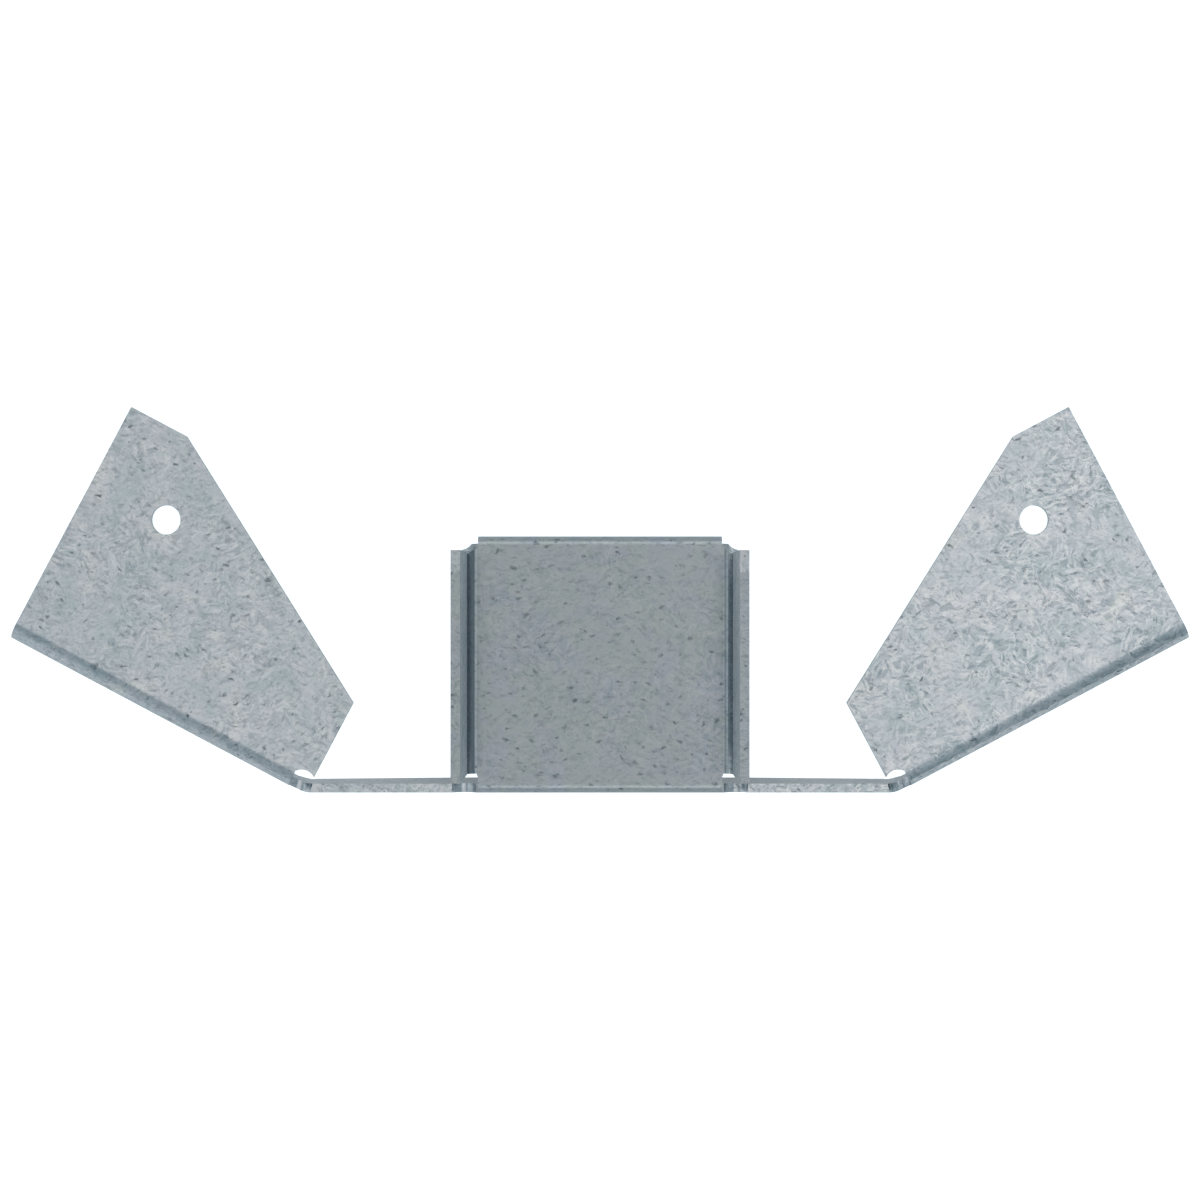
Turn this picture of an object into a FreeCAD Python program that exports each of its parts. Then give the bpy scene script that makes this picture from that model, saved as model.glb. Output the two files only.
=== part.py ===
import FreeCAD, Part
import math
import os
import Sketcher

# Gazebo tie: one sheet of galvanised steel, folded.
# The seat plate lies level with its upper face at height zero and its middle at the origin.
# Two side flanges stand up from the seat and a back flange hangs down from it.
# The front strip hangs down along the whole front, is folded back at each side, and carries a
# wing plate there, level with the seat and with one bolt hole.
# X runs across from wing to wing, Y from the front strip to the back flange, Z up.

NODE = "gazebo_tie"

# Driving sizes in millimetres and degrees: name, value, meaning.
SIZES = [
    ("sheet_thick", 3.1, "thickness of the sheet"),
    ("bend_in", 3.1, "inner radius of the square bends"),
    ("pocket_width", 90.5, "clear width between the side flanges"),
    ("seat_depth", 88.2, "front strip to back flange, outside"),
    ("flange_height", 54.0, "side flange above the seat"),
    ("flange_front_gap", 0.7, "front end of a side flange, short of the seat's front bend"),
    ("flange_back_over", 0.5, "back end of a side flange, past the start of the back bend"),
    ("lip_gap", 0.3, "end of the front and back bends, short of a side bend"),
    ("strip_deep", 41.3, "depth of strip and back flange below the seat's face"),
    ("strip_fold_deep", 34.2, "depth of the strip where its fold starts"),
    ("strip_wing_deep", 19.6, "depth of the strip along a wing"),
    ("strip_rise_end", 3.0, "end of the rise between those depths, past the fold corner"),
    ("fold_reach", 53.85, "side flange's outer face to the strip's fold corner"),
    ("fold_angle", 28.0, "turn of the strip at each fold"),
    ("fold_in", 4.9, "inner radius of that fold"),
    ("wing_length", 113.5, "fold corner to the wing's outer end"),
    ("wing_depth", 89.6, "strip's outer face to the wing's tip"),
    ("wing_tip", 21.4, "straight part of the wing's tip"),
    ("wing_slant", 30.0, "slant of the wing's inner edge to the strip"),
    ("wing_overhang", 1.1, "inner end of the wing past the fold corner"),
    ("bolt_hole", 10.0, "diameter of the wing's bolt hole"),
    ("bolt_edge", 28.6, "bolt hole to the wing's end and to its tip"),
    ("relief_dia", 9.2, "diameter of the corner reliefs"),
    ("relief_seat", 4.65, "seat's corner relief, past the start of the side bend"),
    ("relief_drop", 4.2, "relief centre below the seat's face, on the strip"),
    ("relief_fold", 1.75, "strip's relief at the fold, past the fold corner"),
    ("relief_wing", 1.6, "wing's corner relief, past the fold corner"),
    ("relief_in", 3.3, "wing's corner relief, in from the strip's outer face"),
    ("corner_over", 3.6, "side bend past the start of the back bend, at the back corner"),
    ("notch_dia", 7.6, "diameter of the back corner notch"),
    ("notch_side", 3.95, "notch centre past the start of the side bend, at the seat's face"),
    ("notch_back", 5.3, "notch centre past the start of the back bend, at the seat's face"),
    ("notch_lean", 35.0, "lean of the notch from upright, outwards to the side and the back"),
    ("notch_rise", 4.6, "notch above its centre plane, along its lean"),
    ("wing_bend_from", 5.6, "start of the wing's bend, past the fold corner"),
    ("nail_hole", 4.3, "diameter of the nail holes"),
    ("nail_low", 15.5, "lower nail hole above the seat"),
    ("nail_high", 46.5, "upper nail hole above the seat"),
    ("nail_step", 25.4, "lower to upper nail hole, along the flange"),
    ("nail_right", 14.4, "right flange's upper nail hole behind the middle"),
    ("nail_left", 7.2, "left flange's upper nail hole behind the middle"),
]

doc = FreeCAD.newDocument(NODE)
sheet = doc.addObject("Spreadsheet::Sheet", "Sizes")
for row, (alias, value, meaning) in enumerate(SIZES, start=1):
    sheet.set(f"A{row}", meaning)
    sheet.set(f"B{row}", str(value))
    sheet.setAlias(f"B{row}", alias)
doc.recompute()


class Size:
    """A length with its value and the expression that ties it to the sheet."""

    def __init__(self, text, value):
        self.text = text
        self.value = value

    def __add__(self, other):
        other = as_size(other)
        return Size(f"({self.text} + {other.text})", self.value + other.value)

    def __sub__(self, other):
        other = as_size(other)
        return Size(f"({self.text} - {other.text})", self.value - other.value)

    def __mul__(self, other):
        other = as_size(other)
        return Size(f"({self.text} * {other.text})", self.value * other.value)

    def __truediv__(self, other):
        other = as_size(other)
        return Size(f"({self.text} / {other.text})", self.value / other.value)

    def __neg__(self):
        return Size(f"(0 - {self.text})", -self.value)


def as_size(number):
    return number if isinstance(number, Size) else Size(repr(float(number)), float(number))


def turn(name, angle):
    """Sine, cosine or tangent of an angle in degrees."""
    return Size(f"{name}({angle.text})", getattr(math, name)(math.radians(angle.value)))


def side_of(slope, side):
    """The other side of a right-angled triangle with this long side and this short side."""
    square = slope * slope - side * side
    return Size(f"sqrt({square.text})", math.sqrt(square.value))


named = {alias: Size(f"Sizes.{alias}", float(sheet.get(alias))) for alias, _, _ in SIZES}
zero = as_size(0.0)
clear = as_size(10.0)  # how far a cutting shape runs past the sheet

# Lengths that follow from the driving sizes.
thick = named["sheet_thick"]
bend_in = named["bend_in"]
bend_out = bend_in + thick
pocket_half = named["pocket_width"] / 2
seat_half = pocket_half - bend_in
depth_half = named["seat_depth"] / 2
seat_reach = depth_half - bend_out
lip_half = seat_half - named["lip_gap"]
strip_deep = named["strip_deep"]
flange_in = seat_half + bend_in
flange_out = seat_half + bend_out
flange_top = named["flange_height"]
flange_front = seat_reach - named["flange_front_gap"]
flange_back = seat_reach + named["flange_back_over"]
fold_half = flange_out + named["fold_reach"]
fold_angle = named["fold_angle"]
fold_out = named["fold_in"] + thick
fold_set = fold_out * turn("tan", fold_angle / 2)
wing_length = named["wing_length"]
wing_depth = named["wing_depth"]
relief = named["relief_dia"] / 2
nail = named["nail_hole"] / 2

body = doc.addObject("PartDesign::Body", "Tie")
body.Label = NODE
planes = {feature.Role: feature for feature in body.Origin.OriginFeatures}


def new_sketch(name, plane, base=(zero, zero, zero), axis=None, angle=zero):
    """A sketch on an origin plane, moved by base and turned about axis in the plane's own frame."""
    sketch = body.newObject("Sketcher::SketchObject", name)
    sketch.AttachmentSupport = [(planes[plane], "")]
    sketch.MapMode = "FlatFace"
    place = FreeCAD.Placement()
    place.Base = FreeCAD.Vector(*[b.value for b in base])
    if axis:
        place.Rotation = FreeCAD.Rotation(FreeCAD.Vector(*axis), angle.value)
    sketch.AttachmentOffset = place
    for letter, offset in zip("xyz", base):
        if offset is not zero:
            sketch.setExpression(f"AttachmentOffset.Base.{letter}", offset.text)
    if axis:
        sketch.setExpression("AttachmentOffset.Rotation.Angle", angle.text)
    return sketch


def bind(sketch, kind, *where):
    """Add a dimension whose value follows the sheet."""
    size = where[-1]
    index = sketch.addConstraint(Sketcher.Constraint(kind, *where[:-1], size.value))
    sketch.setExpression(f"Constraints[{index}]", size.text)


def hold_point(sketch, geo, pos, point):
    bind(sketch, "DistanceX", -1, 1, geo, pos, point[0])
    bind(sketch, "DistanceY", -1, 1, geo, pos, point[1])


def vector(point):
    return FreeCAD.Vector(point[0].value, point[1].value, 0)


def outline(sketch, corners, arcs=None):
    """A closed outline through the corners.

    arcs names the corners that start an arc, each with its centre, radius and turn (1 is left).
    """
    arcs = arcs or {}
    ends = []
    for index, start in enumerate(corners):
        finish = corners[(index + 1) % len(corners)]
        if index in arcs:
            centre, radius, way = arcs[index]
            first, last = (start, finish) if way > 0 else (finish, start)
            spread = []
            for point in (first, last):
                rise = point[1].value - centre[1].value
                run = point[0].value - centre[0].value
                spread.append(math.atan2(rise, run))
            if spread[1] < spread[0]:
                spread[1] += 2 * math.pi
            circle = Part.Circle(vector(centre), FreeCAD.Vector(0, 0, 1), radius.value)
            geo = sketch.addGeometry(Part.ArcOfCircle(circle, spread[0], spread[1]))
            ends.append((geo, 1, 2) if way > 0 else (geo, 2, 1))
        else:
            geo = sketch.addGeometry(Part.LineSegment(vector(start), vector(finish)))
            ends.append((geo, 1, 2))
    for index, (geo, _, last) in enumerate(ends):
        following = ends[(index + 1) % len(ends)]
        sketch.addConstraint(Sketcher.Constraint("Coincident", geo, last, following[0], following[1]))
    for index, (geo, first, _) in enumerate(ends):
        hold_point(sketch, geo, first, corners[index])
        if index in arcs:
            centre = arcs[index][0]
            chord = vector(corners[(index + 1) % len(corners)]) - vector(corners[index])
            if abs(chord.x) < abs(chord.y):
                bind(sketch, "DistanceX", -1, 1, geo, 3, centre[0])
            else:
                bind(sketch, "DistanceY", -1, 1, geo, 3, centre[1])


def ring(sketch, centre, radius):
    """A full circle."""
    circle = Part.Circle(vector(centre), FreeCAD.Vector(0, 0, 1), radius.value)
    geo = sketch.addGeometry(circle)
    hold_point(sketch, geo, 3, centre)
    bind(sketch, "Radius", geo, radius)


def extrude(kind, name, sketch, length, back=None, reverse=False):
    """A pad or pocket along the sketch's normal, and on the other side too if back is given."""
    feature = body.newObject(f"PartDesign::{kind}", name)
    feature.Profile = sketch
    feature.Reversed = reverse
    feature.Refine = True
    feature.Length = length.value
    feature.setExpression("Length", length.text)
    if back:
        feature.SideType = "Two sides"
        feature.Length2 = back.value
        feature.setExpression("Length2", back.text)
    before = body.Shape.Volume if body.Shape and not body.Shape.isNull() else 0.0
    doc.recompute()
    change = feature.Shape.Volume - before
    if (kind == "Pad") != (change > 0) or change == 0:
        raise RuntimeError(f"{name} changed the volume by {change:.3f}")
    return feature


def quarter(sketch, centre, inner, outer, start):
    """A quarter ring: outline from the inner start, out, round and back. start is its first angle."""
    steps = {0: (1, 0), 90: (0, 1), 180: (-1, 0), 270: (0, -1)}
    a, b = steps[start], steps[(start + 90) % 360]

    def at(radius, way):
        return (centre[0] + radius * way[0], centre[1] + radius * way[1])

    corners = [at(inner, a), at(outer, a), at(outer, b), at(inner, b)]
    outline(sketch, corners, {1: (centre, outer, 1), 3: (centre, inner, -1)})


# The right half of the tie is made first, and then mirrored.

# Seat plate between the lines where its bends begin.
sketch = new_sketch("SeatPlan", "XY_Plane")
outline(sketch, [(zero, -seat_reach), (seat_half, -seat_reach), (seat_half, seat_reach), (zero, seat_reach)])
extrude("Pad", "Seat", sketch, thick, reverse=True)

# Side bend, which rises from the seat's side and runs on into the back corner.
sketch = new_sketch("SideBendSection", "XZ_Plane")
bend_axis = (seat_half, bend_in)
outline(
    sketch,
    [
        (lip_half, -thick),
        (seat_half, -thick),
        (flange_out, bend_in),
        (flange_in, bend_in),
        (seat_half, zero),
        (lip_half, zero),
    ],
    {1: (bend_axis, bend_out, 1), 3: (bend_axis, bend_in, -1)},
)
extrude("Pad", "SideBend", sketch, flange_front, back=seat_reach + named["corner_over"])

# Side flange, upright on its bend.
sketch = new_sketch("FlangeSection", "XZ_Plane")
outline(
    sketch,
    [
        (flange_in, bend_in),
        (flange_out, bend_in),
        (flange_out, flange_top),
        (flange_in, flange_top),
    ],
)
extrude("Pad", "SideFlange", sketch, flange_front, back=flange_back)

# Back corner notch: round at its inner end, open to the side, and leaning outwards to the side and
# the back, as the bends pulled it.
notch_x = seat_half + named["notch_side"]
notch_y = seat_reach + named["notch_back"]
sketch = new_sketch("NotchPlan", "XY_Plane", (notch_x, notch_y, zero), (1, -1, 0), named["notch_lean"])
notch = named["notch_dia"] / 2
outline(
    sketch,
    [
        (zero, -notch),
        (clear, -notch),
        (clear, notch),
        (zero, notch),
    ],
    {3: ((zero, zero), notch, 1)},
)
extrude("Pocket", "CornerNotch", sketch, clear, back=named["notch_rise"])

# Front bend of the seat, down to the strip.
sketch = new_sketch("FrontBendSection", "YZ_Plane")
quarter(sketch, (-seat_reach, -bend_out), bend_in, bend_out, 90)
extrude("Pad", "FrontBend", sketch, lip_half)

# Back bend and back flange.
sketch = new_sketch("BackFlangeSection", "YZ_Plane")
back_axis = (seat_reach, -bend_out)
back_in = depth_half - thick
outline(
    sketch,
    [
        (seat_reach, -thick),
        (back_in, -bend_out),
        (back_in, -strip_deep),
        (depth_half, -strip_deep),
        (depth_half, -bend_out),
        (seat_reach, zero),
    ],
    {0: (back_axis, bend_in, -1), 4: (back_axis, bend_out, 1)},
)
extrude("Pad", "BackFlange", sketch, lip_half)

# Front strip in plan: straight along the seat, folded, then straight along the wing.
sketch = new_sketch("StripPlan", "XY_Plane", (zero, zero, -bend_out))
turn_sin = turn("sin", fold_angle)
turn_cos = turn("cos", fold_angle)


def on_wing(along, inward):
    """Plan position of a point given along the wing from the fold corner and in from the strip."""
    x = fold_half + along * turn_cos - inward * turn_sin
    y = along * turn_sin + inward * turn_cos - depth_half
    return (x, y)


fold_start = fold_half - fold_set
fold_axis = (fold_start, fold_out - depth_half)
strip_in = thick - depth_half
outline(
    sketch,
    [
        (zero, -depth_half),
        (fold_start, -depth_half),
        on_wing(fold_set, zero),
        on_wing(wing_length, zero),
        on_wing(wing_length, thick),
        on_wing(fold_set, thick),
        (fold_start, strip_in),
        (zero, strip_in),
    ],
    {1: (fold_axis, fold_out, 1), 5: (fold_axis, named["fold_in"], -1)},
)
extrude("Pad", "Strip", sketch, strip_deep - bend_out, reverse=True)

# The strip's lower edge rises from the seat's side to the fold, and more steeply round the fold.
below = strip_deep + clear
past_end = fold_half + wing_length + clear
sketch = new_sketch("StripTaperSection", "XZ_Plane")
outline(
    sketch,
    [
        (flange_out, -strip_deep),
        (flange_out, -below),
        (past_end, -below),
        (past_end, -named["strip_wing_deep"]),
        (fold_half + named["strip_rise_end"], -named["strip_wing_deep"]),
        (fold_start, -named["strip_fold_deep"]),
    ],
)
extrude("Pocket", "StripTaper", sketch, wing_depth, back=wing_depth)

# Round reliefs in the strip's upper edge, beside the seat and at the fold.
sketch = new_sketch("SeatReliefSection", "XZ_Plane", (zero, zero, depth_half))
ring(sketch, (seat_half + named["relief_seat"], -named["relief_drop"]), relief)
extrude("Pocket", "SeatRelief", sketch, thick + bend_in / 2, back=clear)
sketch = new_sketch("FoldReliefSection", "XZ_Plane", (fold_half, zero, depth_half), (0, 1, 0), fold_angle / 2)
ring(sketch, (named["relief_fold"], -named["relief_drop"]), relief)
extrude("Pocket", "FoldRelief", sketch, thick + clear, back=clear)

# Wing bend, from the fold relief to the wing's end.
bend_start = on_wing(named["wing_bend_from"], zero)
sketch = new_sketch(
    "WingBendSection",
    "YZ_Plane",
    (bend_start[1], zero, bend_start[0]),
    (0, 1, 0),
    fold_angle,
)
quarter(sketch, (bend_out, -bend_out), bend_in, bend_out, 90)
extrude("Pad", "WingBend", sketch, wing_length - named["wing_bend_from"])

# Wing plate, with its slanting inner edge and its corner relief.
sketch = new_sketch("WingPlan", "XY_Plane", (fold_half, -depth_half, zero), (0, 0, 1), fold_angle)
overhang = named["wing_overhang"]
relief_axis = (named["relief_wing"], named["relief_in"])
relief_far = relief_axis[0] + side_of(relief, bend_out - relief_axis[1])
relief_near = relief_axis[1] + side_of(relief, overhang + relief_axis[0])
slant_run = wing_length - named["wing_tip"] + overhang
slant_foot = wing_depth - slant_run * turn("tan", named["wing_slant"])
outline(
    sketch,
    [
        (wing_length, bend_out),
        (wing_length, wing_depth),
        (wing_length - named["wing_tip"], wing_depth),
        (-overhang, slant_foot),
        (-overhang, relief_near),
        (relief_far, bend_out),
    ],
    {4: (relief_axis, relief, -1)},
)
extrude("Pad", "WingPlate", sketch, thick, reverse=True)

# Bolt hole, as far from the wing's end as from its tip.
sketch = new_sketch("BoltPlan", "XY_Plane", (fold_half, -depth_half, zero), (0, 0, 1), fold_angle)
ring(sketch, (wing_length - named["bolt_edge"], wing_depth - named["bolt_edge"]), named["bolt_hole"] / 2)
extrude("Pocket", "BoltHole", sketch, thick)

# The left half is the right half mirrored.
half_volume = body.Shape.Volume
mirror = body.newObject("PartDesign::Mirrored", "LeftHalf")
mirror.TransformMode = "Whole shape"
mirror.MirrorPlane = (planes["YZ_Plane"], [""])
mirror.Refine = True
body.Tip = mirror
doc.recompute()

# Nail holes through the side flanges, further back on the right flange.
for side, place, reverse in (("Right", named["nail_right"], True), ("Left", named["nail_left"], False)):
    sketch = new_sketch(f"{side}NailSection", "YZ_Plane")
    ring(sketch, (place, named["nail_high"]), nail)
    ring(sketch, (place - named["nail_step"], named["nail_low"]), nail)
    cut = extrude("Pocket", f"{side}NailHoles", sketch, flange_out + clear, reverse=reverse)
    body.Tip = cut

doc.recompute()

# Nothing is written unless every object is sound and the tie is one solid.
for item in doc.Objects:
    faults = [word for word in item.State if word in ("Invalid", "Error")]
    if faults:
        raise RuntimeError(f"{item.Name} is {faults}")
shape = body.Shape
if shape.isNull() or not shape.isValid() or len(shape.Solids) != 1:
    raise RuntimeError("the tie is not one valid solid")

box = shape.optimalBoundingBox(False)
print(f"half volume {half_volume:.1f}, whole volume {shape.Volume:.1f} mm3")
print(f"x {box.XMin:.2f} to {box.XMax:.2f}")
print(f"y {box.YMin:.2f} to {box.YMax:.2f}")
print(f"z {box.ZMin:.2f} to {box.ZMax:.2f}")
print(f"{len(shape.Faces)} faces")

os.makedirs("parts", exist_ok=True)
shape.Solids[0].exportStep(f"parts/{NODE}.step")
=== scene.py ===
import math

import bmesh
import bpy
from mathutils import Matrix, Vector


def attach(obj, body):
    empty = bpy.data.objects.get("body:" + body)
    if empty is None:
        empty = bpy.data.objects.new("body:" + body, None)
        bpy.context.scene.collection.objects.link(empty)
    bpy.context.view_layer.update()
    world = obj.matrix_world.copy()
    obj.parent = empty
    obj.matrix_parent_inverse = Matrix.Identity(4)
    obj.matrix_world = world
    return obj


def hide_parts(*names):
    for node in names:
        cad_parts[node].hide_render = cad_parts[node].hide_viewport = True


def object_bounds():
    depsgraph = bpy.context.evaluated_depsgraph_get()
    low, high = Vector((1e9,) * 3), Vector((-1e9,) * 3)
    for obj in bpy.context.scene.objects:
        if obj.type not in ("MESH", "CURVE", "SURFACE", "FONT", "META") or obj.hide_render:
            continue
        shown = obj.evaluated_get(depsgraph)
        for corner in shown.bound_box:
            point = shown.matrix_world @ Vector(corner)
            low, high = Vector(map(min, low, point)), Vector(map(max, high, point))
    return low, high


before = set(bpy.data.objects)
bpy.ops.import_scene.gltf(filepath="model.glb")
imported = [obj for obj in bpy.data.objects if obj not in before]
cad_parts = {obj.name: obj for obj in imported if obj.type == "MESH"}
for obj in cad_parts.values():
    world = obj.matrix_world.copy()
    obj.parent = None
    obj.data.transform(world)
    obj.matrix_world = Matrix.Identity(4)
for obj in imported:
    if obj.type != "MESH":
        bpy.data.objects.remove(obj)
cad_low, cad_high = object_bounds()

MM = 0.001
TIE_NODE = "gazebo_tie"

# What the picture shows: a square view straight down, centred a little behind the seat's middle.
CAMERA_HEIGHT = 993 * MM
PICTURE_WIDTH = 410.4 * MM
PICTURE_CENTRE = (0.0, 22.2 * MM)
SENSOR_WIDTH = 36.0

# Edges steeper than the first angle stay crisp, and those flatter than the second are merged away.
SHARP_ANGLE = math.radians(32)
FLAT_ANGLE = math.radians(0.5)

# Points closer than this are one point, and this weight lets the larger faces decide the shading.
SAME_POINT = 0.001 * MM
LARGE_FACES_DECIDE = 100

# Areas of the sheet, each from where it begins to where it is full, from the middle of the seat's top.
FLANGE_TOP = cad_high.z
FLANGE_TOP_UPWARD = (FLANGE_TOP - 0.8 * MM, FLANGE_TOP - 0.2 * MM)
# Painted shade on the flanges' top edges fades to half towards their back ends across this span.
SHADED_TOP_FORWARD = (31.4 * MM, 31.0 * MM)
SEAT_SIDEWAYS = (45.2 * MM, 43.6 * MM)
SEAT_UPWARD = (-14 * MM, -5 * MM)
OPEN_CRYSTALS_RIGHTWARD = (-150 * MM, 80 * MM)
# Painted shade in the side bends fades from full on the left to none on the right across this span.
BEND_SHADE_RIGHTWARD = (-45 * MM, 45 * MM)

# Areas between two heights above the seat.
SIDE_BEND_HEIGHTS = (0.15 * MM, 3.15 * MM)
FLANGE_SIDE_HEIGHTS = (3.2 * MM, FLANGE_TOP - 0.8 * MM)

# Sizes in the zinc's pattern, in mm. A grain has a length, a breadth and a height.
CLOUD_SIZE = 14
AREA_SIZE = 26
WARP_SIZE = 3.0
WARP_SWAY = 1.0
LEAF_GRAIN = (5.2, 1.5, 5.2)
LEAF_PATCH = 7.0
NEEDLE_GRAIN = (4.4, 0.9, 4.4)
NEEDLE_PATCH = 5.0
FRAY_SIZE = 1.6
FRAY_SWAY = 2.6
FLECK_GRAIN = (4.8, 2.0, 2.2)
FLECK_PATCH = 9.0
STREAK_GRAIN = (4.5, 1.1, 1.1)
STREAK_PATCH = 12.0
GRIT_SIZE = 1.0

# How far grains turn about X, Y and Z from patch to patch, in radians.
ANY_WAY = (math.tau,) * 3
ROUGHLY_ACROSS = (0.3, 0.3, 1.5)

# Where on a noise or a random draw from 0 to 1 each mark begins, and where it is full.
OPEN_AREA_NOISE = (0.38, 0.58)
DARK_LEAF_DRAW = (0.45, 0.0)
RIM_DRAW = (0.45, 1.0)
PALE_NEEDLE_NOISE = (0.55, 0.67)
DARK_NEEDLE_NOISE = (0.44, 0.33)
GLOSSY_NEEDLE_NOISE = (0.3, 0.7)
FLECK_DRAW = (-0.1, 1.0)
STREAK_NOISE = (0.52, 0.75)
GRIT_NOISE = (0.45, 0.75)

# How strongly each mark shows, from 0 to 1.
DARK_LEAF_SHARE = 0.52
RIM_SHARE = 0.72
PALE_NEEDLE_SHARE = 0.62
DARK_NEEDLE_SHARE = 0.72
CLOSED_AREA_SHARE = 0.35
LEFT_WING_SHARE = 0.68
# How much of the crystals shows under the painted shade of the seat and the flanges' tops.
PALE_UNDER_SHADE_SHARE = 0.18
DARK_UNDER_SHADE_SHARE = 0.8
FLECK_SHARE = 0.92
STREAK_SHARE = 0.34
# Painted shade in the left side bend.
LEFT_BEND_SHADE_SHARE = 0.52
GRIT_SHARE = 0.35
# How much of the painted shade the back ends of the flanges' top edges keep.
TOP_END_SHADE = 0.5

# Reaches counted in grains: of the widest rim, of flecks, and of the full dark in a fleck's middle.
WIDEST_RIM = 0.17
SMALLEST_FLECK = 0.17
LARGEST_FLECK = 0.48
FLECK_CORE = 0.04

# Colours of the zinc: its clouds from the darkest to the palest, and what lies on them.
WING_CLOUDS = ((0.32, "#cad7dc"), (0.45, "#d6e0e4"), (0.57, "#dfe4ea"), (0.72, "#eef2ef"))
# The seat's clouds are darker and greener: painted shade on the seat, its bends and the flanges' tops.
SHADED_SEAT_CLOUDS = ((0.42, "#b4bdbd"), (0.64, "#b5bcc5"))
GRIT_COLOUR = "#a2b0b8"
DARK_CRYSTAL_COLOUR = "#90a2ab"
PALE_CRYSTAL_COLOUR = "#fdfefe"
# The dark marks' colour also paints the shade in the left side bend.
DARK_MARK_AND_SHADE_COLOUR = "#56656d"

# Gloss and relief of the zinc.
DARK_NEEDLE_ROUGHNESS = 0.21
PALE_NEEDLE_ROUGHNESS = 0.16
FLANGE_SIDE_ROUGHNESS = 0.65
RELIEF_STRENGTH = 0.1
RELIEF_HEIGHT = 0.1 * MM

# The room's light in linear colour, by direction: 0 is the far left, 0.5 the middle, 1 the far right.
ROOM_LIGHT = (
    (0.0, (0.62, 0.65, 0.67, 1.0)),
    (0.2, (0.52, 0.56, 0.59, 1.0)),
    (0.25, (0.33, 0.38, 0.41, 1.0)),
    (0.365, (0.27, 0.32, 0.35, 1.0)),
    (0.3925, (0.70, 0.70, 0.71, 1.0)),
    (0.45, (0.615, 0.625, 0.63, 1.0)),
    (0.48, (0.635, 0.64, 0.64, 1.0)),
    (0.52, (0.65, 0.655, 0.655, 1.0)),
    (0.54, (0.71, 0.71, 0.715, 1.0)),
    (0.6075, (0.86, 0.86, 0.865, 1.0)),
    (0.635, (0.44, 0.49, 0.52, 1.0)),
    (0.75, (0.27, 0.32, 0.35, 1.0)),
    (1.0, (0.36, 0.41, 0.44, 1.0)),
)

# The room's lift at the skyline, ahead and behind: how much, the heights where it is full and gone,
# and the distances from the middle where it begins and is full.
SKYLINE_LIFT = 0.4
SKYLINE_UPWARD = (0.2, 0.45)
SKYLINE_INWARD = (0.3, 0.1)
BACKDROP_COLOUR = "#fafafa"

# The floor: half its width in metres, its paint, and its own glow in reflections and to the camera.
FLOOR_REACH = 30.0
FLOOR_COLOUR = "#f0f0f0"
FLOOR_ROUGHNESS = 0.9
FLOOR_GLOW_COLOUR = "#e4f0f5"
FLOOR_GLOW_REFLECTED = 0.12
FLOOR_GLOW_SEEN = 1.1

# Texture scale at positions that are already counted in grains.
PER_GRAIN = 1.0

# The Mix node's socket names repeat for each kind of data, so its colour sockets go by number.
MIX_SHARE = 0
MIX_UNDER = 6
MIX_OVER = 7
MIX_RESULT = 2


def linear(hex_colour):
    """Linear RGBA of an sRGB hex colour."""
    channels = [int(hex_colour[i : i + 2], 16) / 255 for i in (1, 3, 5)]
    return [c / 12.92 if c <= 0.04045 else ((c + 0.055) / 1.055) ** 2.4 for c in channels] + [1.0]


def per_metre(size_mm):
    """Texture scale for features of this size."""
    return 1 / (size_mm * MM)


def blank_tree(owner):
    """The emptied node tree of a material or a world."""
    owner.use_nodes = True
    owner.node_tree.nodes.clear()
    return owner.node_tree


def add(tree, kind, inputs=None, **settings):
    """A new node with its settings, and its inputs linked from sockets or set to values."""
    node = tree.nodes.new(kind)
    for name, value in settings.items():
        setattr(node, name, value)
    for key, value in (inputs or {}).items():
        if isinstance(value, bpy.types.NodeSocket):
            tree.links.new(value, node.inputs[key])
        else:
            node.inputs[key].default_value = value
    return node


def reckon(tree, operation, *values):
    """The outcome of one step of arithmetic on sockets or numbers."""
    return add(tree, "ShaderNodeMath", dict(enumerate(values)), operation=operation).outputs["Value"]


def within(tree, value, lowest, highest):
    """1 where a value lies from the lowest to the highest, and 0 elsewhere."""
    return reckon(tree, "COMPARE", value, (lowest + highest) / 2, (highest - lowest) / 2)


def remap(tree, value, start=0.0, end=1.0, low=0.0, high=1.0, easing="LINEAR"):
    """A value that runs from start to end, brought to low to high and held there outside."""
    spans = {"Value": value, "From Min": start, "From Max": end, "To Min": low, "To Max": high}
    return add(tree, "ShaderNodeMapRange", spans, interpolation_type=easing).outputs["Result"]


def toned(tree, value, stops):
    """The colour of a value on a ramp of stops, each with its position and its linear colour."""
    node = add(tree, "ShaderNodeValToRGB", {"Fac": value})
    first, last = node.color_ramp.elements
    first.position, first.color = stops[0]
    last.position, last.color = stops[-1]
    for position, colour in stops[1:-1]:
        node.color_ramp.elements.new(position).color = colour
    return node.outputs["Color"]


def clouded(tree, value, clouds):
    """The colour of a value on a ramp of clouds, each with its position and its hex colour."""
    return toned(tree, value, [(position, linear(colour)) for position, colour in clouds])


def laid_over(tree, share, under, over):
    """One colour laid over another by this share."""
    inputs = {MIX_SHARE: share, MIX_UNDER: under, MIX_OVER: over}
    return add(tree, "ShaderNodeMix", inputs, data_type="RGBA").outputs[MIX_RESULT]


def noise(tree, place, scale, detail, roughness=0.5, distortion=0.0):
    """The outputs of a cloudy noise at these positions."""
    inputs = {
        "Vector": place,
        "Scale": scale,
        "Detail": detail,
        "Roughness": roughness,
        "Distortion": distortion,
    }
    return add(tree, "ShaderNodeTexNoise", inputs).outputs


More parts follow.
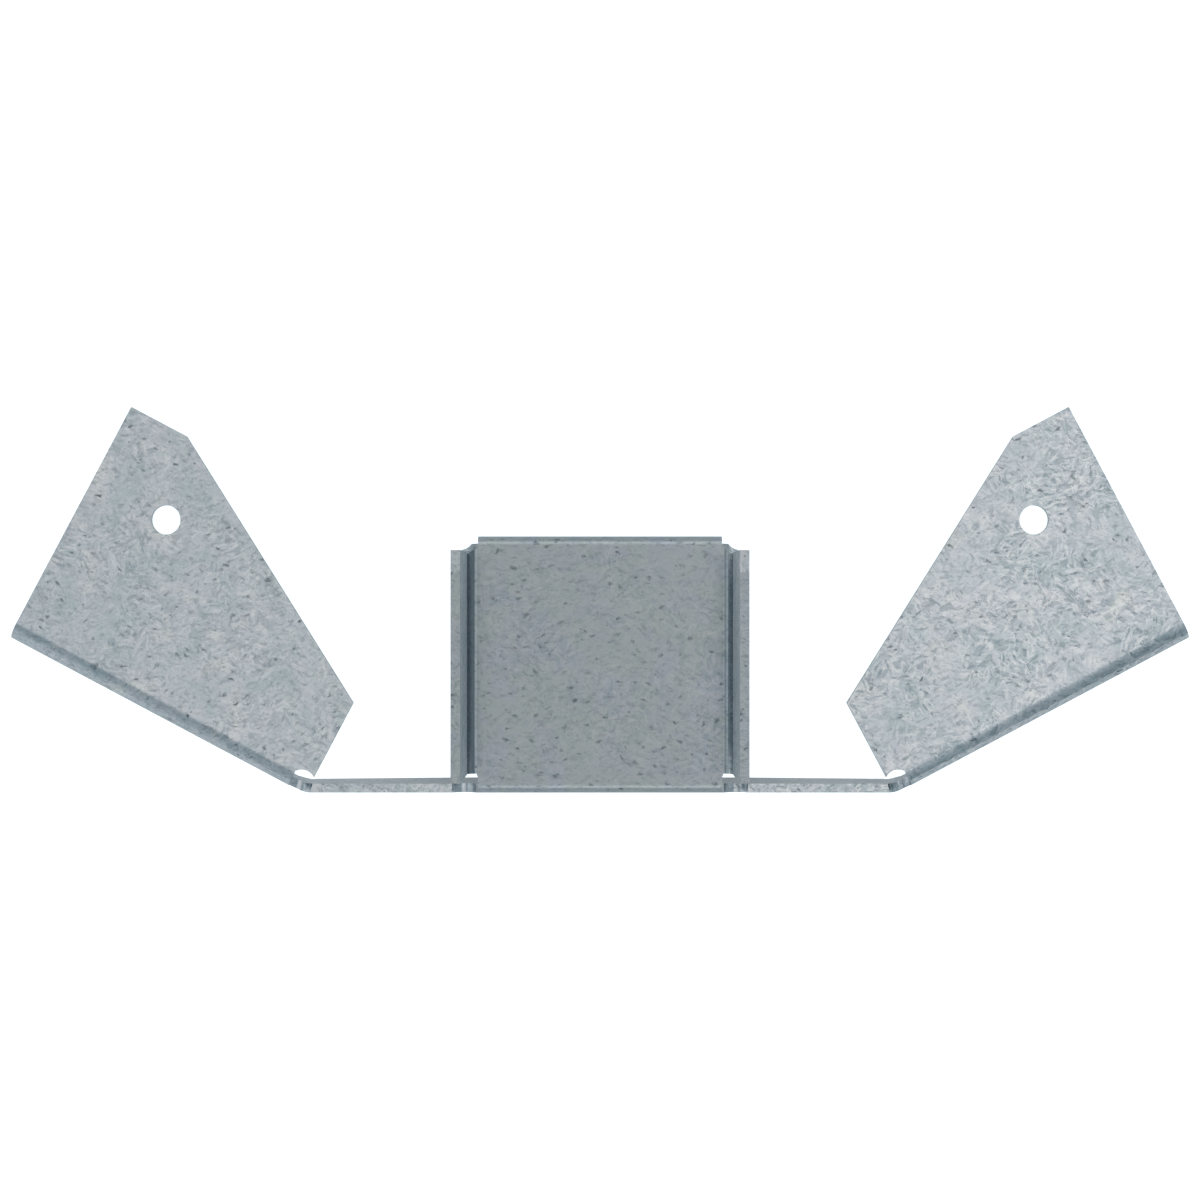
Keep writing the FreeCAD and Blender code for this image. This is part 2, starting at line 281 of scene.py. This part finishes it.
def cells(tree, place, scale, feature="F1"):
    """The outputs of a pattern of cells at these positions."""
    return add(tree, "ShaderNodeTexVoronoi", {"Vector": place, "Scale": scale}, feature=feature).outputs


def draws(tree, pattern):
    """The random draws of each cell of a pattern, by the names of the colour channels."""
    return add(tree, "ShaderNodeSeparateColor", {"Color": pattern["Color"]}).outputs


def swayed(tree, place, size_mm, sway_mm, detail):
    """Positions pushed about by a noise of this size."""
    push = noise(tree, place, per_metre(size_mm), detail)["Color"]
    return add(
        tree,
        "ShaderNodeVectorMath",
        {0: push, 1: (sway_mm * MM,) * 3, 2: place},
        operation="MULTIPLY_ADD",
    ).outputs["Vector"]


def turned_grain(tree, place, patch_mm, grain_mm, turn):
    """Positions counted in grains of this length, breadth and height, turned anew in each patch."""
    patch = cells(tree, place, per_metre(patch_mm))
    spin = add(
        tree,
        "ShaderNodeVectorMath",
        {0: patch["Color"], 1: turn, 2: [-angle / 2 for angle in turn]},
        operation="MULTIPLY_ADD",
    )
    turned = add(
        tree,
        "ShaderNodeVectorRotate",
        {"Vector": place, "Rotation": spin.outputs["Vector"]},
        rotation_type="EULER_XYZ",
    )
    counted = add(
        tree,
        "ShaderNodeVectorMath",
        {0: turned.outputs["Vector"], 1: [per_metre(size) for size in grain_mm]},
        operation="MULTIPLY",
    )
    return counted.outputs["Vector"]


def painted_seat_shade(tree, spot):
    """The share of painted shade: the seat, its front and back bends and the flanges' tops are painted
    darker and greener.

    The back ends of the side flanges' top edges get only half of it.
    """
    off_middle = reckon(tree, "ABSOLUTE", spot["X"])
    between_flanges = remap(tree, off_middle, *SEAT_SIDEWAYS, easing="SMOOTHSTEP")
    seat_level = remap(tree, spot["Z"], *SEAT_UPWARD, easing="SMOOTHSTEP")
    on_seat = reckon(tree, "MULTIPLY", between_flanges, seat_level)
    on_flange_top = remap(tree, spot["Z"], *FLANGE_TOP_UPWARD)
    ahead_of_end = remap(tree, spot["Y"], *SHADED_TOP_FORWARD, low=TOP_END_SHADE)
    shaded_top = reckon(tree, "MULTIPLY", on_flange_top, ahead_of_end)
    return reckon(tree, "MAXIMUM", on_seat, shaded_top)


def zinc_crystals(tree, place):
    """The shares of pale and of dark crystals, and the noise that makes the needles among them.

    Leaves of one tone each, some of them with pale rims, and needles lie in all directions on a
    warp that bends them a little.
    """
    bent = swayed(tree, place, WARP_SIZE, WARP_SWAY, detail=2.0)
    leaf_place = turned_grain(tree, bent, LEAF_PATCH, LEAF_GRAIN, ANY_WAY)
    leaf_draw = draws(tree, cells(tree, leaf_place, PER_GRAIN))
    dark_leaves = remap(tree, leaf_draw["Red"], *DARK_LEAF_DRAW, high=DARK_LEAF_SHARE)
    rim_gap = cells(tree, leaf_place, PER_GRAIN, feature="DISTANCE_TO_EDGE")["Distance"]
    rim_reach = remap(tree, leaf_draw["Green"], *RIM_DRAW, high=WIDEST_RIM)
    rims = remap(tree, rim_gap, rim_reach, 0.0, high=RIM_SHARE)

    needle_place = turned_grain(tree, bent, NEEDLE_PATCH, NEEDLE_GRAIN, ANY_WAY)
    needles = noise(tree, needle_place, PER_GRAIN, detail=1.5)["Fac"]
    pale_needles = remap(tree, needles, *PALE_NEEDLE_NOISE, high=PALE_NEEDLE_SHARE)
    dark_needles = remap(tree, needles, *DARK_NEEDLE_NOISE, high=DARK_NEEDLE_SHARE)
    pale = reckon(tree, "MAXIMUM", pale_needles, rims)
    dark = reckon(tree, "MAXIMUM", dark_needles, dark_leaves)
    return pale, dark, needles


def open_crystals(tree, place, spot):
    """How open the crystals are: in some areas more than in others, and more to the right."""
    area = noise(tree, place, per_metre(AREA_SIZE), detail=3.0, distortion=0.4)["Fac"]
    open_area = remap(tree, area, *OPEN_AREA_NOISE, low=CLOSED_AREA_SHARE)
    to_right = remap(tree, spot["X"], *OPEN_CRYSTALS_RIGHTWARD, low=LEFT_WING_SHARE)
    return reckon(tree, "MULTIPLY", open_area, to_right)


def dark_marks_and_bend_shade(tree, place, spot):
    """The share of flecks, faint streaks between them, and painted shade in the left side bend.

    The flecks are 1 to 3 mm long, of uneven outline, size and depth. They and the streaks lie
    roughly across the sheet.
    """
    frayed = swayed(tree, place, FRAY_SIZE, FRAY_SWAY, detail=3.0)
    fleck_place = turned_grain(tree, frayed, FLECK_PATCH, FLECK_GRAIN, ROUGHLY_ACROSS)
    fleck = cells(tree, fleck_place, PER_GRAIN)
    fleck_draw = draws(tree, fleck)
    fleck_reach = remap(tree, fleck_draw["Green"], low=SMALLEST_FLECK, high=LARGEST_FLECK)
    fleck_spot = remap(tree, fleck["Distance"], fleck_reach, FLECK_CORE, easing="SMOOTHSTEP")
    fleck_depth = remap(tree, fleck_draw["Red"], *FLECK_DRAW, high=FLECK_SHARE)
    flecks = reckon(tree, "MULTIPLY", fleck_spot, fleck_depth)

    streak_place = turned_grain(tree, frayed, STREAK_PATCH, STREAK_GRAIN, ROUGHLY_ACROSS)
    streak_noise = noise(tree, streak_place, PER_GRAIN, detail=2.0)["Fac"]
    streaks = remap(tree, streak_noise, *STREAK_NOISE, high=STREAK_SHARE)

    # Painted shade in the side bends: full on the left, fading to none on the right.
    in_side_bend = within(tree, spot["Z"], *SIDE_BEND_HEIGHTS)
    bend_shade_depth = remap(tree, spot["X"], *BEND_SHADE_RIGHTWARD, low=LEFT_BEND_SHADE_SHARE, high=0.0)
    painted_bend_shade = reckon(tree, "MULTIPLY", in_side_bend, bend_shade_depth)
    return reckon(tree, "MAXIMUM", reckon(tree, "MAXIMUM", flecks, streaks), painted_bend_shade)


def galvanised_steel():
    """Hot-dip galvanised steel sheet: a zinc mirror of low gloss, blue-grey, clouded teal and lilac.

    Leaf-shaped crystals with pale rims and fine needles lie in all directions, open on the wings
    and faint on the seat, which is painted darker and greener as shade. Small dark flecks and faint
    streaks are scattered over all of it, and the bend by the seat's left edge has painted shade.
    """
    material = bpy.data.materials.new("galvanised_steel")
    tree = blank_tree(material)
    place = add(tree, "ShaderNodeTexCoord").outputs["Object"]
    spot = add(tree, "ShaderNodeSeparateXYZ", {"Vector": place}).outputs
    # Painted shade on the seat, its front and back bends, and the flanges' tops.
    seat_shade = painted_seat_shade(tree, spot)

    # Under the painted shade hardly any pale crystals show, but most of the dark ones.
    pale, dark, needles = zinc_crystals(tree, place)
    spread = open_crystals(tree, place, spot)
    pale_open = reckon(tree, "MULTIPLY", spread, remap(tree, seat_shade, low=1.0, high=PALE_UNDER_SHADE_SHARE))
    dark_open = reckon(tree, "MULTIPLY", spread, remap(tree, seat_shade, low=1.0, high=DARK_UNDER_SHADE_SHARE))
    pale_share = reckon(tree, "MULTIPLY", pale, pale_open)
    dark_share = reckon(tree, "MULTIPLY", dark, dark_open)

    # Clouds of tone with frayed borders, painted darker and greener as shade on the seat and the
    # flanges' tops, and a fine grit, drawn coarser than the real one, which is too fine to show.
    cloud = noise(tree, place, per_metre(CLOUD_SIZE), detail=5.0, roughness=0.62, distortion=0.6)["Fac"]
    clouds = laid_over(tree, seat_shade, clouded(tree, cloud, WING_CLOUDS), clouded(tree, cloud, SHADED_SEAT_CLOUDS))
    grit = noise(tree, place, per_metre(GRIT_SIZE), detail=2.0)["Fac"]
    grit_share = remap(tree, grit, *GRIT_NOISE, high=GRIT_SHARE)

    # Colour: clouds and grit, then dark and pale crystals, then dark marks and painted bend shade.
    with_grit = laid_over(tree, grit_share, clouds, linear(GRIT_COLOUR))
    with_dark = laid_over(tree, dark_share, with_grit, linear(DARK_CRYSTAL_COLOUR))
    with_pale = laid_over(tree, pale_share, with_dark, linear(PALE_CRYSTAL_COLOUR))
    with_marks_and_shade = laid_over(tree, dark_marks_and_bend_shade(tree, place, spot), with_pale, linear(DARK_MARK_AND_SHADE_COLOUR))

    # Gloss and relief follow the needles, and the side flanges' faces are duller.
    crystal_roughness = remap(
        tree,
        needles,
        *GLOSSY_NEEDLE_NOISE,
        low=DARK_NEEDLE_ROUGHNESS,
        high=PALE_NEEDLE_ROUGHNESS,
    )
    on_flange_side = within(tree, spot["Z"], *FLANGE_SIDE_HEIGHTS)
    relief = add(
        tree,
        "ShaderNodeBump",
        {"Height": needles, "Strength": RELIEF_STRENGTH, "Distance": RELIEF_HEIGHT},
    )
    shader = add(
        tree,
        "ShaderNodeBsdfPrincipled",
        {
            "Base Color": with_marks_and_shade,
            "Metallic": 1.0,
            "Roughness": remap(tree, on_flange_side, low=crystal_roughness, high=FLANGE_SIDE_ROUGHNESS),
            "Normal": relief.outputs["Normal"],
        },
    )
    add(tree, "ShaderNodeOutputMaterial", {"Surface": shader.outputs["BSDF"]})
    return material


def folded_sheet(node, material):
    """The folded sheet as one closed mesh, its cut edges crisp and its bends shaded smooth."""
    mesh = node.data.copy()
    sheet = bmesh.new()
    sheet.from_mesh(mesh)
    bmesh.ops.remove_doubles(sheet, verts=sheet.verts, dist=SAME_POINT)
    bmesh.ops.dissolve_limit(sheet, angle_limit=FLAT_ANGLE, verts=sheet.verts, edges=sheet.edges)
    for face in sheet.faces:
        face.smooth = True
    for edge in sheet.edges:
        edge.smooth = edge.calc_face_angle(0.0) < SHARP_ANGLE
    sheet.to_mesh(mesh)
    sheet.free()
    mesh.name = "folded_sheet"
    mesh.materials.clear()
    mesh.materials.append(material)

    piece = bpy.data.objects.new("folded_sheet", mesh)
    bpy.context.scene.collection.objects.link(piece)
    even = piece.modifiers.new("even_shading", "WEIGHTED_NORMAL")
    even.mode = "FACE_AREA"
    even.weight = LARGE_FACES_DECIDE
    even.keep_sharp = True
    return piece


def studio_room():
    """A dim blue-grey room, seen only in reflections, with a bright band overhead from front to back.

    The band is brighter near the skyline, ahead and behind. The camera sees a plain pale backdrop.
    """
    world = bpy.data.worlds.new("studio_room")
    tree = blank_tree(world)
    direction = add(tree, "ShaderNodeTexCoord").outputs["Generated"]
    way = add(tree, "ShaderNodeSeparateXYZ", {"Vector": direction}).outputs
    light = toned(tree, remap(tree, way["X"], start=-1.0), ROOM_LIGHT)
    upward = reckon(tree, "ABSOLUTE", way["Z"])
    skyline = remap(tree, upward, *SKYLINE_UPWARD, low=SKYLINE_LIFT, high=0.0, easing="SMOOTHSTEP")
    sideways = reckon(tree, "ABSOLUTE", way["X"])
    ahead = remap(tree, sideways, *SKYLINE_INWARD)
    strength = reckon(tree, "MULTIPLY_ADD", skyline, ahead, 1.0)
    room = add(tree, "ShaderNodeBackground", {"Color": light, "Strength": strength})
    backdrop = add(tree, "ShaderNodeBackground", {"Color": linear(BACKDROP_COLOUR), "Strength": 1.0})
    seen = add(tree, "ShaderNodeLightPath").outputs["Is Camera Ray"]
    shown = add(tree, "ShaderNodeMixShader", {0: seen, 1: room.outputs[0], 2: backdrop.outputs[0]})
    add(tree, "ShaderNodeOutputWorld", {"Surface": shown.outputs["Shader"]})
    bpy.context.scene.world = world


def white_floor():
    """A pale painted floor, lifted to white where the camera looks at it, as in a cut-out picture."""
    paint = bpy.data.materials.new("white_floor_paint")
    tree = blank_tree(paint)
    seen = add(tree, "ShaderNodeLightPath").outputs["Is Camera Ray"]
    shader = add(
        tree,
        "ShaderNodeBsdfPrincipled",
        {
            "Base Color": linear(FLOOR_COLOUR),
            "Roughness": FLOOR_ROUGHNESS,
            "Emission Color": linear(FLOOR_GLOW_COLOUR),
            "Emission Strength": remap(tree, seen, low=FLOOR_GLOW_REFLECTED, high=FLOOR_GLOW_SEEN),
        },
    )
    add(tree, "ShaderNodeOutputMaterial", {"Surface": shader.outputs["BSDF"]})

    mesh = bpy.data.meshes.new("floor")
    sides = ((-1, -1), (1, -1), (1, 1), (-1, 1))
    corners = [(x * FLOOR_REACH, y * FLOOR_REACH, cad_low.z) for x, y in sides]
    mesh.from_pydata(corners, [], [(0, 1, 2, 3)])
    mesh.materials.append(paint)
    floor = bpy.data.objects.new("floor", mesh)
    bpy.context.scene.collection.objects.link(floor)


def studio():
    """The floor, the room's light, and the camera straight above."""
    scene = bpy.context.scene
    scene.view_settings.view_transform = "Standard"
    white_floor()
    studio_room()

    lens = bpy.data.cameras.new("camera")
    lens.sensor_width = SENSOR_WIDTH
    lens.lens = SENSOR_WIDTH * CAMERA_HEIGHT / PICTURE_WIDTH
    camera = bpy.data.objects.new("camera", lens)
    camera.location = (*PICTURE_CENTRE, CAMERA_HEIGHT)
    scene.collection.objects.link(camera)
    scene.camera = camera


tie = folded_sheet(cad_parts[TIE_NODE], galvanised_steel())
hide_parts(TIE_NODE)
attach(tie, "root")
studio()
